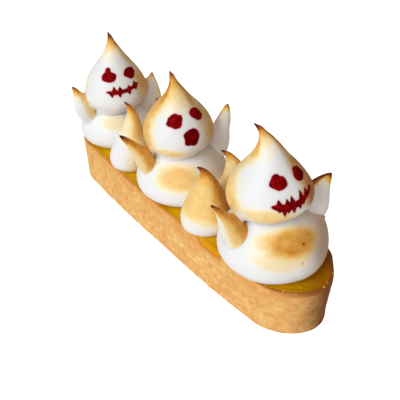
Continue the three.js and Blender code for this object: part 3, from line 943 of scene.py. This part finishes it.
def crumbsPiece(material):
    # loose crumbs: small lumpy balls lying on the rim and along the edge of the pool
    rng = np.random.default_rng(17)
    sides, rings, lumpiness = crumbs["sides"], crumbs["rings"], crumbs["lumpiness"]
    turn = np.pi * np.arange(1, rings)[:, None] / rings
    angle = 2 * np.pi * np.arange(sides) / sides
    ring = np.sin(turn)
    ball = np.stack([ring * np.cos(angle), ring * np.sin(angle), -np.cos(turn) + 0 * angle], -1)
    outline = oblong(0.0)[0]
    blocks = []
    for x, y in outline[rng.integers(0, len(outline), crumbs["count"])]:
        size = rng.uniform(*crumbs["radius"])
        inward = rng.uniform(*crumbs["inward"])
        rough = 1 + rng.uniform(-lumpiness, lumpiness, (rings - 1, sides, 1))
        centre = np.array((x * (1 - crumbs["inwardAlong"] * inward), y * (1 - inward), case["height"]))
        centre[2] += crumbs["lift"] * size - dipped(centre)
        pole = (0, 0, crumbs["pole"] * size)
        shape = size * rough * ball * (1, 1, crumbs["flatness"])
        blocks.append(closedGrid(shape + centre, centre - pole, centre + pole))
    points, faces = joined(blocks)
    values = {key: np.full(len(points), value) for key, value in crumbs["shades"].items()}
    addMesh("case_crumbs", points, faces, material, (), values)


def paint(red, green, blue):
    # a display colour, 0 to 255, as linear light
    share = np.array((red, green, blue)) / 255
    linear = np.where(share <= 0.04045, share / 12.92, ((share + 0.055) / 1.055) ** 2.4)
    return (*linear.tolist(), 1.0)


def connect(tree, sockets, values):
    # links what is a socket and sets what is a constant
    for key, value in values.items():
        if isinstance(value, bpy.types.NodeSocket):
            tree.links.new(value, sockets[key])
        else:
            sockets[key].default_value = value


def addNode(tree, kind, inputs, **settings):
    node = tree.nodes.new(kind)
    for key, value in settings.items():
        setattr(node, key, value)
    connect(tree, node.inputs, inputs)
    return node


def arithmetic(tree, kind, first, second):
    return addNode(tree, "ShaderNodeMath", {0: first, 1: second}, operation=kind).outputs[0]


def noiseOf(tree, place, scale, detail, roughness):
    inputs = {"Vector": place, "Scale": scale, "Detail": detail, "Roughness": roughness}
    return addNode(tree, "ShaderNodeTexNoise", inputs).outputs["Fac"]


def bumpOf(tree, height, strength, depth):
    # a bumpy normal; the depth is in millimetres
    inputs = {"Height": height, "Strength": strength, "Distance": depth * millimetre}
    return addNode(tree, "ShaderNodeBump", inputs).outputs["Normal"]


def fillRamp(tree, factor, stops):
    # a colour by a factor, between stops of a place from 0 to 1 and a display colour
    node = addNode(tree, "ShaderNodeValToRGB", {"Fac": factor})
    marks = node.color_ramp.elements
    while len(marks) < len(stops):
        marks.new(0.5)
    for mark, (place, colour) in zip(marks, stops):
        mark.position = place
        mark.color = paint(*colour)
    return node.outputs["Color"]


def attribute(tree, name):
    return addNode(tree, "ShaderNodeAttribute", {}, attribute_name=name).outputs["Fac"]


def blendColours(tree, factor, colour, tone, kind="MIX"):
    # a colour drawn towards a display colour by a factor
    inputs = {0: factor, 6: colour, 7: paint(*tone)}
    return addNode(tree, "ShaderNodeMix", inputs, data_type="RGBA", blend_type=kind).outputs[2]


def tinted(tree, colour, finish, names):
    # a colour drawn towards a finish's tones in turn, each by the surface's attribute of that name
    for name in names:
        amount, tone = finish[name]
        factor = arithmetic(tree, "MULTIPLY", attribute(tree, name), amount)
        colour = blendColours(tree, factor, colour, tone)
    return colour


def speckleGroup():
    # soft speckle from 0 to 1: noise with Coarse and with Fine cells, half of each
    tree = bpy.data.node_groups.new("speckle", "ShaderNodeTree")
    for label, kind in {"Place": "Vector", "Coarse": "Float", "Fine": "Float"}.items():
        tree.interface.new_socket(name=label, in_out="INPUT", socket_type="NodeSocket" + kind)
    tree.interface.new_socket(name="Value", in_out="OUTPUT", socket_type="NodeSocketFloat")
    given = tree.nodes.new("NodeGroupInput").outputs
    coarse = noiseOf(tree, given["Place"], given["Coarse"], 3.0, 0.5)
    fine = noiseOf(tree, given["Place"], given["Fine"], 4.0, 0.65)
    mixed = arithmetic(tree, "MULTIPLY", arithmetic(tree, "ADD", coarse, fine), 0.5)
    addNode(tree, "NodeGroupOutput", {"Value": mixed})
    return tree


speckle = speckleGroup()


def grainsOf(tree, place, coarse, fine):
    inputs = {"Place": place, "Coarse": coarse, "Fine": fine}
    return addNode(tree, "ShaderNodeGroup", inputs, node_tree=speckle).outputs["Value"]


def placeOn(tree):
    return addNode(tree, "ShaderNodeTexCoord", {}).outputs["Object"]


def makeMaterial(name, inputsOf, finish):
    # a new material: the shader's inputs from its function's nodes and from the finish's constants
    material = bpy.data.materials.new(name)
    material.use_nodes = True
    tree = material.node_tree
    connect(tree, tree.nodes["Principled BSDF"].inputs, {**inputsOf(tree, finish), **finish["shader"]})
    return material


# In a finish, "cells" are a speckle's coarse and fine scale, "noise" is a scale, a detail and a roughness,
# "bump" a strength and a depth in millimetres, and "shader" what is the same all over.
meringueFinish = {
    "tones": (
        (0.0, (237, 237, 239)),
        (0.12, (246, 237, 214)),
        (0.28, (247, 218, 154)),
        (0.42, (238, 186, 96)),
        (0.56, (214, 142, 38)),
        (0.7, (180, 98, 12)),
        (0.82, (122, 60, 8)),
        (1.0, (34, 18, 10)),
    ),
    "cells": (330.0, 1500.0),
    "mottle": 0.9,
    # painted shade: the tan that shaded sides are multiplied towards
    "paintedShade": (197, 170, 151),
    "bleed": (214, 60, 92),
    "bleedFall": 1.5,
    "bleedShare": 0.75,
    "dull": (0.46, 0.12),  # roughness where white, and what torching adds
    "noise": (900.0, 3.0, 0.5),
    "bump": (0.25, 0.12),
    "shader": {"Subsurface Weight": 0.25, "Subsurface Radius": (1.0, 0.75, 0.5), "Subsurface Scale": 0.002,
               "Specular IOR Level": 0.35},
}


def meringueInputs(tree, finish):
    # white to charred by the toast attribute, mottled where torched, dulled to tan by painted shade, with a
    # pink bleed round the marks
    place = placeOn(tree)
    toast = attribute(tree, "toast")
    grains = grainsOf(tree, place, *finish["cells"])
    swing = arithmetic(tree, "MULTIPLY", arithmetic(tree, "SUBTRACT", grains, 0.5), finish["mottle"])
    mottled = arithmetic(tree, "MULTIPLY", toast, arithmetic(tree, "ADD", swing, 1.0))
    colour = fillRamp(tree, mottled, finish["tones"])
    colour = blendColours(tree, attribute(tree, "paintedShade"), colour, finish["paintedShade"], "MULTIPLY")
    bleed = arithmetic(tree, "POWER", attribute(tree, "stain"), finish["bleedFall"])
    bleed = arithmetic(tree, "MULTIPLY", bleed, finish["bleedShare"])
    white, torched = finish["dull"]
    return {"Base Color": blendColours(tree, bleed, colour, finish["bleed"]),
            "Roughness": arithmetic(tree, "ADD", arithmetic(tree, "MULTIPLY", toast, torched), white),
            "Normal": bumpOf(tree, noiseOf(tree, place, *finish["noise"]), *finish["bump"])}


crustFinish = {
    "grains": ((0.34, (206, 146, 78)), (0.45, (232, 178, 106)), (0.54, (241, 192, 120)),
               (0.66, (250, 220, 162))),
    "cells": (420.0, 2200.0),
    "warm": (228, 158, 92),
    "warmth": (150.0, 3.0, 0.5),  # the warm tone's noise
    "warmFrom": (0.42, 0.68, 0.0, 0.6),  # from two noise values to two amounts
    "browned": (0.4, (224, 148, 66)),
    "soaked": (0.95, (214, 128, 26)),
    # painted shade at the near end
    "shaded": (0.95, (128, 70, 22)),
    "noise": (1500.0, 4.0, 0.7),
    "bump": (0.5, 0.25),
    "shader": {"Roughness": 0.85, "Specular IOR Level": 0.2, "Subsurface Weight": 0.1,
               "Subsurface Scale": 0.001},
}


def crustInputs(tree, finish):
    # sandy shortcrust: pale gold grains, browned towards the rim, soaked orange at the curd, darker in shade
    place = placeOn(tree)
    colour = fillRamp(tree, grainsOf(tree, place, *finish["cells"]), finish["grains"])
    span = dict(enumerate((noiseOf(tree, place, *finish["warmth"]), *finish["warmFrom"])))
    warm = addNode(tree, "ShaderNodeMapRange", span).outputs[0]
    colour = blendColours(tree, warm, colour, finish["warm"])
    return {"Base Color": tinted(tree, colour, finish, ("browned", "soaked", "shaded")),
            "Normal": bumpOf(tree, noiseOf(tree, place, *finish["noise"]), *finish["bump"])}


curdFinish = {
    "clouds": ((0.3, (230, 170, 0)), (0.7, (244, 196, 2))),
    "cloudNoise": (140.0, 3.0, 0.5),
    "rim": (0.7, (230, 148, 2)),
    # painted shadow at the near end
    "shaded": (0.8, (136, 68, 0)),
    "noise": (500.0, 2.0, 0.5),
    "bump": (0.15, 0.1),
    "shader": {"Roughness": 0.3, "Specular IOR Level": 0.12, "Coat Weight": 0.04, "Coat Roughness": 0.1,
               "Subsurface Weight": 0.2, "Subsurface Radius": (1.0, 0.5, 0.1), "Subsurface Scale": 0.002},
}


def curdInputs(tree, finish):
    # set lemon curd: glossy amber, deeper and more orange where it thins against the crust, darker in painted
    # shadow at the near end
    place = placeOn(tree)
    colour = fillRamp(tree, noiseOf(tree, place, *finish["cloudNoise"]), finish["clouds"])
    return {"Base Color": tinted(tree, colour, finish, ("rim", "shaded")),
            "Normal": bumpOf(tree, noiseOf(tree, place, *finish["noise"]), *finish["bump"])}


markFinish = {
    "grains": ((0.36, (88, 0, 0)), (0.5, (116, 0, 2)), (0.66, (176, 0, 18))),
    "cells": (500.0, 1700.0),
    "bump": (0.5, 0.2),
    "shader": {"Roughness": 0.6, "Specular IOR Level": 0.03},
}


def markInputs(tree, finish):
    # deep crimson dried paste, brighter in grains, each mark times its tone, which is painted shade and light
    grains = grainsOf(tree, placeOn(tree), *finish["cells"])
    toned = {0: fillRamp(tree, grains, finish["grains"]), "Scale": attribute(tree, "tone")}
    return {"Base Color": addNode(tree, "ShaderNodeVectorMath", toned, operation="SCALE").outputs[0],
            "Normal": bumpOf(tree, grains, *finish["bump"])}


meringue = makeMaterial("torched_meringue", meringueInputs, meringueFinish)
shortcrust = makeMaterial("shortcrust", crustInputs, crustFinish)
lemonCurd = makeMaterial("set_lemon_curd", curdInputs, curdFinish)
crimson = makeMaterial("crimson_paste", markInputs, markFinish)
print("finishes made")

crustPiece(shortcrust)
curdPiece(lemonCurd)
crumbsPiece(shortcrust)
print("case, curd and crumbs made")

armBlend = 3.0
kissBlend = 1.0
bodies = [(ghost["body"], kissBlend) for ghost in ghosts]
for i, ghost in enumerate(ghosts):
    label = f"ghost_{i + 1}"
    trunk, head, neck = ghost["body"], ghost["head"], ghost["neck"]
    arms = [(ghost["leftArm"], armBlend), (ghost["rightArm"], armBlend)]
    pipedPiece(f"{label}_body_meringue", f"{label}_body", trunk, "body",
               [(head, neck), *arms, *((kiss, kissBlend) for kiss in kisses.values())], meringue)
    pipedPiece(f"{label}_head_meringue", f"{label}_head", head, "head", [(trunk, neck), *arms], meringue,
               stainOn(ghost))
    for side, (arm, _) in zip(("left", "right"), arms):
        pipedPiece(f"{label}_arm_{side}_meringue", f"{label}_arm_{side}", arm, "arm",
                   [(trunk, armBlend), (head, armBlend)], meringue)
    addMarks(f"{label}_red_marks", f"{label}_head", ghost, crimson)
    print(label, "piped, torched and marked")

for name, kiss in kisses.items():
    others = [(other, kissBlend) for key, other in kisses.items() if key != name]
    pipedPiece(f"{name}_meringue", name, kiss, "kiss", [*bodies, *others], meringue)
print("kisses piped")


def aimed(obj, spot):
    # stands an object at a spot's distance, elevation and azimuth from the view's target, the azimuth counted
    # from the -Y side, with its -Z axis on the target and its Y axis upwards
    azimuth, elevation = np.radians((spot["azimuth"], spot["elevation"]))
    flat = np.cos(elevation)
    target = np.array(view["target"])
    place = target + spot["distance"] * np.array((np.sin(azimuth) * flat, -np.cos(azimuth) * flat,
                                                  np.sin(elevation)))
    back = unit(place - target)
    right = unit(np.cross((0, 0, 1.0), back))
    up = np.cross(back, right)
    rows = [[right[i], up[i], back[i], place[i] * millimetre] for i in range(3)]
    obj.matrix_world = Matrix([*rows, [0, 0, 0, 1]])
    bpy.context.scene.collection.objects.link(obj)


def addCamera():
    data = bpy.data.cameras.new("camera")
    data.lens = view["lens"]
    data.sensor_width = view["sensor"]
    data.clip_start = view["clipStart"]
    camera = bpy.data.objects.new("camera", data)
    aimed(camera, view)
    bpy.context.scene.camera = camera


lights = {
    "key": {"azimuth": 4.0, "elevation": 36.0, "distance": 1500.0, "size": 700.0, "power": 13.8,
            "colour": (0.88, 0.98, 1.04)},
    "fill": {"azimuth": 58.0, "elevation": 50.0, "distance": 1500.0, "size": 900.0, "power": 3.6,
             "colour": (1.0, 0.98, 0.94)},
    "sky": {"strength": 0.28, "colour": (1.2, 1.0, 0.8)},
}
floorPlate = {
    "reach": 3000.0,
    "level": -0.05,
    "glow": 0.85,  # lifts it to white where the camera sees it
    "shader": {"Base Color": (0.92, 0.92, 0.92, 1), "Roughness": 0.9, "Specular IOR Level": 0.1,
               "Emission Color": (1, 1, 1, 1)},
}


def addLights():
    for name in ("key", "fill"):
        light = lights[name]
        data = bpy.data.lights.new(name, "AREA")
        data.size = light["size"] * millimetre
        data.energy = light["power"]
        data.color = light["colour"]
        aimed(bpy.data.objects.new(name, data), light)
    world = bpy.data.worlds.new("studio")
    world.use_nodes = True
    background = world.node_tree.nodes["Background"].inputs
    background["Color"].default_value = (*lights["sky"]["colour"], 1)
    background["Strength"].default_value = lights["sky"]["strength"]
    bpy.context.scene.world = world


def floorInputs(tree, finish):
    # glows for the camera alone
    seen = addNode(tree, "ShaderNodeLightPath", {}).outputs["Is Camera Ray"]
    return {"Emission Strength": arithmetic(tree, "MULTIPLY", seen, finish["glow"])}


def addFloor():
    # a wide square just under the object
    reach, level = floorPlate["reach"], floorPlate["level"]
    points = np.array([(-reach, -reach, level), (reach, -reach, level), (reach, reach, level),
                       (-reach, reach, level)])
    mesh = bpy.data.meshes.new("floor")
    mesh.from_pydata((points * millimetre).tolist(), [], [(0, 1, 2, 3)])
    mesh.materials.append(makeMaterial("pale_floor", floorInputs, floorPlate))
    floor = bpy.data.objects.new("floor", mesh)
    bpy.context.scene.collection.objects.link(floor)


addCamera()
addLights()
addFloor()
bpy.context.scene.view_settings.view_transform = "Standard"
print("camera, light and floor placed")
